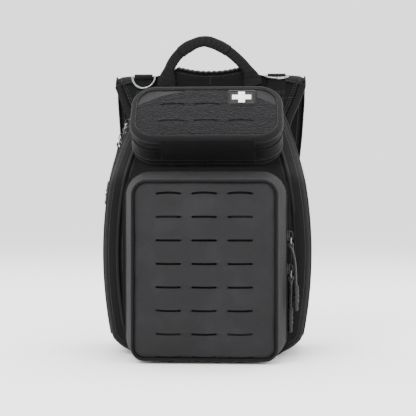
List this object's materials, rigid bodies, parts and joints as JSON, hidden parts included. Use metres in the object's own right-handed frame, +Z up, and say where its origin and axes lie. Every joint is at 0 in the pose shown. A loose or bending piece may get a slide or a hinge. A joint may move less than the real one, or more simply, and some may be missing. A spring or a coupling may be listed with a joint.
{
  "type": "trauma backpack",
  "caption": "Soft zip-round medical backpack with a webbing-grid front pocket, a leaning top pouch, a carry handle and padded shoulder straps.",
  "frame": {"origin": "on the floor, at the middle of the flat underside of the base", "axes": "+Z up, +X to the right seen from the front, the front faces -Y"},
  "size_m": [0.2433, 0.191, 0.3785],
  "materials": {
    "nylon": "matte",
    "laminate": "matte",
    "pad_mesh": "matte",
    "webbing": "matte",
    "lining": "matte",
    "loop": "matte",
    "zip_tape": "matte",
    "frame_plastic": "satin",
    "buckle_plastic": "satin",
    "steel": "satin",
    "slider_metal": "satin",
    "cord": "matte",
    "grip_rubber": "matte",
    "patch_rubber": "matte",
    "patch_white": "matte"
  },
  "bodies": {
    "pack_back": {"back_panel": "nylon", "back_pads": "pad_mesh", "frame_sheet": "frame_plastic", "side_panel_left": "nylon", "side_panel_right": "nylon", "base_panel": "nylon", "top_panel": "nylon", "side_webbing": "webbing", "main_zip_rear": "zip_tape", "inner_sleeve": "lining", "yoke_collar": "nylon", "shoulder_strap_left": "nylon", "shoulder_strap_right": "nylon", "lower_webbing": "webbing", "ladder_locks": "buckle_plastic", "d_ring_tabs": "webbing"},
    "main_front": {"main_front_panel": "nylon", "main_front_gusset": "nylon", "main_zip_front": "zip_tape", "front_zip_fixed": "zip_tape", "top_pouch_tray": "nylon", "top_zip_fixed": "zip_tape"},
    "front_flap": {"front_pocket_shell": "nylon", "molle_face": "laminate", "front_zip_moving": "zip_tape"},
    "top_lid": {"top_lid_shell": "nylon", "top_lid_face": "laminate", "loop_panel": "loop", "patch_base": "patch_rubber", "patch_cross": "patch_white", "top_zip_moving": "zip_tape"},
    "carry_handle": {"handle_webbing": "webbing", "handle_grip": "nylon"},
    "d_ring_left": {"d_ring_left": "steel"},
    "d_ring_right": {"d_ring_right": "steel"},
    "slider_front_upper": {"front_slider_upper": "slider_metal"},
    "pull_front_upper": {"front_ring_upper": "steel", "front_cord_upper": "cord", "front_tip_upper": "grip_rubber"},
    "slider_front_lower": {"front_slider_lower": "slider_metal"},
    "pull_front_lower": {"front_ring_lower": "steel", "front_cord_lower": "cord", "front_tip_lower": "grip_rubber"},
    "slider_main_upper": {"main_slider_upper": "slider_metal"},
    "pull_main_upper": {"main_ring_upper": "steel", "main_cord_upper": "cord", "main_tip_upper": "grip_rubber"},
    "slider_main_lower": {"main_slider_lower": "slider_metal"},
    "pull_main_lower": {"main_ring_lower": "steel", "main_cord_lower": "cord", "main_tip_lower": "grip_rubber"},
    "slider_top_left": {"top_slider_left": "slider_metal"},
    "pull_top_left": {"top_ring_left": "steel", "top_cord_left": "cord", "top_tip_left": "grip_rubber"},
    "slider_top_right": {"top_slider_right": "slider_metal"},
    "pull_top_right": {"top_ring_right": "steel", "top_cord_right": "cord", "top_tip_right": "grip_rubber"}
  },
  "joints": [
    {"name": "main_front_opens", "type": "hinge", "parent": "pack_back", "child": "main_front", "pos_m": [0, -0.024, 0], "axis": [1, 0, 0], "range_deg": [0, 95]},
    {"name": "front_flap_opens", "type": "hinge", "parent": "main_front", "child": "front_flap", "pos_m": [0, -0.047, 0.004], "axis": [1, 0, 0], "range_deg": [0, 95]},
    {"name": "top_lid_opens", "type": "hinge", "parent": "main_front", "child": "top_lid", "pos_m": [0, -0.05334, 0.23329], "axis": [1, 0, 0], "range_deg": [0, 115]},
    {"name": "handle_folds", "type": "hinge", "parent": "pack_back", "child": "carry_handle", "pos_m": [0, 0.0558, 0.3157], "axis": [1, 0, 0], "range_deg": [0, 75]},
    {"name": "d_ring_left_swings", "type": "hinge", "parent": "pack_back", "child": "d_ring_left", "pos_m": [-0.082, 0.0564, 0.328], "axis": [-1, 0, 0], "range_deg": [0, 110]},
    {"name": "d_ring_right_swings", "type": "hinge", "parent": "pack_back", "child": "d_ring_right", "pos_m": [0.082, 0.0564, 0.328], "axis": [-1, 0, 0], "range_deg": [-70, 40]},
    {"name": "slider_front_upper_runs", "type": "slide", "parent": "main_front", "child": "slider_front_upper", "axis": [0, 0, 1], "range_m": [0, 0.034]},
    {"name": "pull_front_upper_swings", "type": "hinge", "parent": "slider_front_upper", "child": "pull_front_upper", "pos_m": [0.09405, -0.047, 0.1335], "axis": [0, -1, 0], "range_deg": [0, 110]},
    {"name": "slider_front_lower_runs", "type": "slide", "parent": "main_front", "child": "slider_front_lower", "axis": [0, 0, 1], "range_m": [-0.022, 0]},
    {"name": "pull_front_lower_swings", "type": "hinge", "parent": "slider_front_lower", "child": "pull_front_lower", "pos_m": [0.09405, -0.047, 0.0965], "axis": [0, -1, 0], "range_deg": [0, 110]},
    {"name": "slider_main_upper_runs", "type": "slide", "parent": "main_front", "child": "slider_main_upper", "axis": [0.2667, 0.5389, 0.799], "range_m": [0, 0.012]},
    {"name": "pull_main_upper_swings", "type": "hinge", "parent": "slider_main_upper", "child": "pull_main_upper", "pos_m": [-0.09849, 0.02409, 0.2674], "axis": [0, 1, 0], "range_deg": [0, 110]},
    {"name": "slider_main_lower_runs", "type": "slide", "parent": "main_front", "child": "slider_main_lower", "axis": [-0.2197, -0.5455, -0.8088], "range_m": [0, 0.0407]},
    {"name": "pull_main_lower_swings", "type": "hinge", "parent": "slider_main_lower", "child": "pull_main_lower", "pos_m": [-0.10412, 0.01195, 0.2492], "axis": [0, 1, 0], "range_deg": [0, 110]},
    {"name": "slider_top_left_runs", "type": "slide", "parent": "main_front", "child": "slider_top_left", "axis": [-1, 0, 0], "range_m": [0, 0.044]},
    {"name": "pull_top_left_swings", "type": "hinge", "parent": "slider_top_left", "child": "pull_top_left", "pos_m": [-0.0035, 0.00025, 0.30189], "axis": [0, 0.788, -0.6157], "range_deg": [0, 70]},
    {"name": "slider_top_right_runs", "type": "slide", "parent": "main_front", "child": "slider_top_right", "axis": [1, 0, 0], "range_m": [0, 0.028]},
    {"name": "pull_top_right_swings", "type": "hinge", "parent": "slider_top_right", "child": "pull_top_right", "pos_m": [0.0195, 0.00025, 0.30189], "axis": [0, -0.788, 0.6157], "range_deg": [0, 70]}
  ]
}
